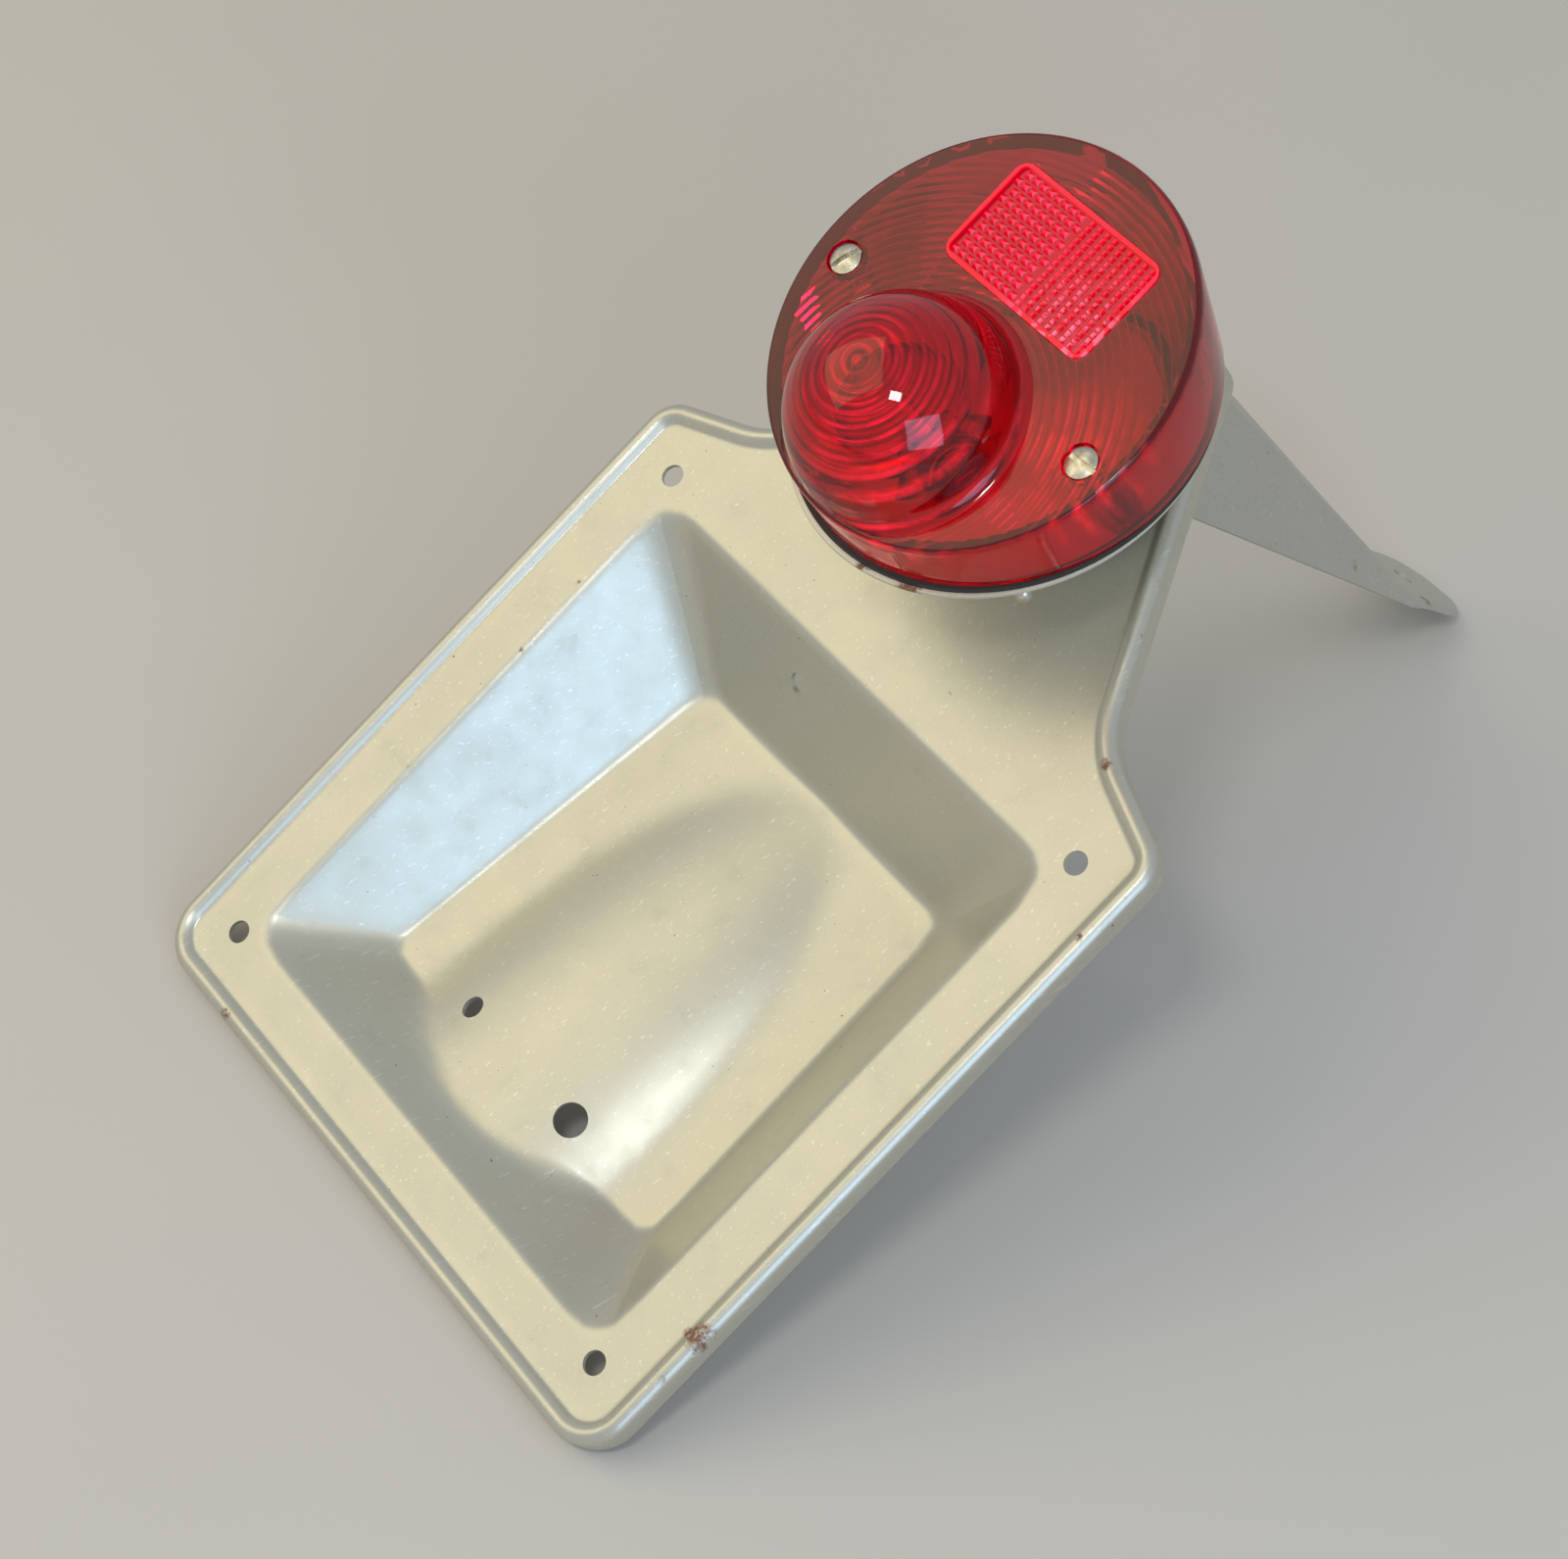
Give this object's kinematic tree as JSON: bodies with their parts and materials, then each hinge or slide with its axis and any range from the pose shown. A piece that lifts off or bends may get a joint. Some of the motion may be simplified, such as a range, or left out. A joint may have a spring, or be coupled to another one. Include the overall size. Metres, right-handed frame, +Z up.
{
  "type": "motorcycle tail light",
  "caption": "Round red tail light with a domed lens on the neck of a pressed number plate carrier with a folded support bracket.",
  "frame": {"origin": "centre of the bounding box on the table, under the part in the pose of the picture", "axes": "+Z up from the table, +Y from the lower edge of the plate carrier towards the foot of the bracket, +X to the right as seen by someone reading the plate"},
  "size_m": [0.177, 0.3248, 0.1913],
  "materials": {
    "carrier_paint": "worn silver paint with rust at the edges",
    "bracket_paint": "weathered grey paint",
    "pad_rubber": "moulded rubber",
    "housing_paint": "pale paint with rust at the rim",
    "zinc_fixings": "zinc plated",
    "grommet_rubber": "moulded rubber",
    "brass_parts": "stamped brass",
    "board": "brown pressed fibre board",
    "spring_steel": "drawn wire",
    "cap_glass": "black vitreous insulation",
    "solder": "solder",
    "bulb_clear": "clear blown glass",
    "filament_wire": "coiled wire",
    "post_wire": "support wires in a glass foot",
    "reflector_white": "white enamel",
    "lens_red": "transparent moulded red acrylic",
    "reflex_red": "red prism moulding",
    "window_clear": "clear acrylic with a pink cast",
    "screw_steel": "plated and slightly tarnished",
    "fibre": "fibre washer"
  },
  "bodies": {
    "body": {"plate_carrier": "carrier_paint", "support_bracket": "bracket_paint", "bracket_foot": "bracket_paint", "base_pad": "pad_rubber", "lamp_housing": "housing_paint", "housing_bolts": "zinc_fixings", "housing_washers": "zinc_fixings", "housing_nuts": "zinc_fixings", "cable_grommet": "grommet_rubber", "socket_bracket": "zinc_fixings", "bracket_rivets": "zinc_fixings", "bulb_socket": "brass_parts", "socket_rivets": "zinc_fixings", "socket_base": "board", "terminal_tags": "brass_parts", "contact_spring": "spring_steel", "inner_reflector": "reflector_white", "screw_pillars": "zinc_fixings", "rim_gasket": "pad_rubber", "lens": "lens_red", "reflex_reflector": "reflex_red", "plate_window": "window_clear", "lens_screws": "screw_steel", "screw_washers": "fibre", "rim_stud": "screw_steel"},
    "plunger": {"contact_plunger": "board", "contact_studs": "brass_parts"},
    "bulb": {"bulb_cap": "brass_parts", "bulb_pins": "brass_parts", "cap_insulator": "cap_glass", "bulb_contacts": "solder", "bulb_glass": "bulb_clear", "filaments": "filament_wire", "filament_posts": "post_wire"}
  },
  "joints": [
    {"name": "contact_push", "type": "slide", "parent": "body", "child": "plunger", "axis": [0, 0.5237, -0.8519], "range_m": [0, 0.002], "stiffness_N_per_m": 3000, "springref_m": -0.002},
    {"name": "bulb_turn", "type": "hinge", "parent": "plunger", "child": "bulb", "pos_m": [0, -0.0001, 0.12797], "axis": [0, -0.5237, 0.8519], "range_deg": [0, 24]}
  ]
}
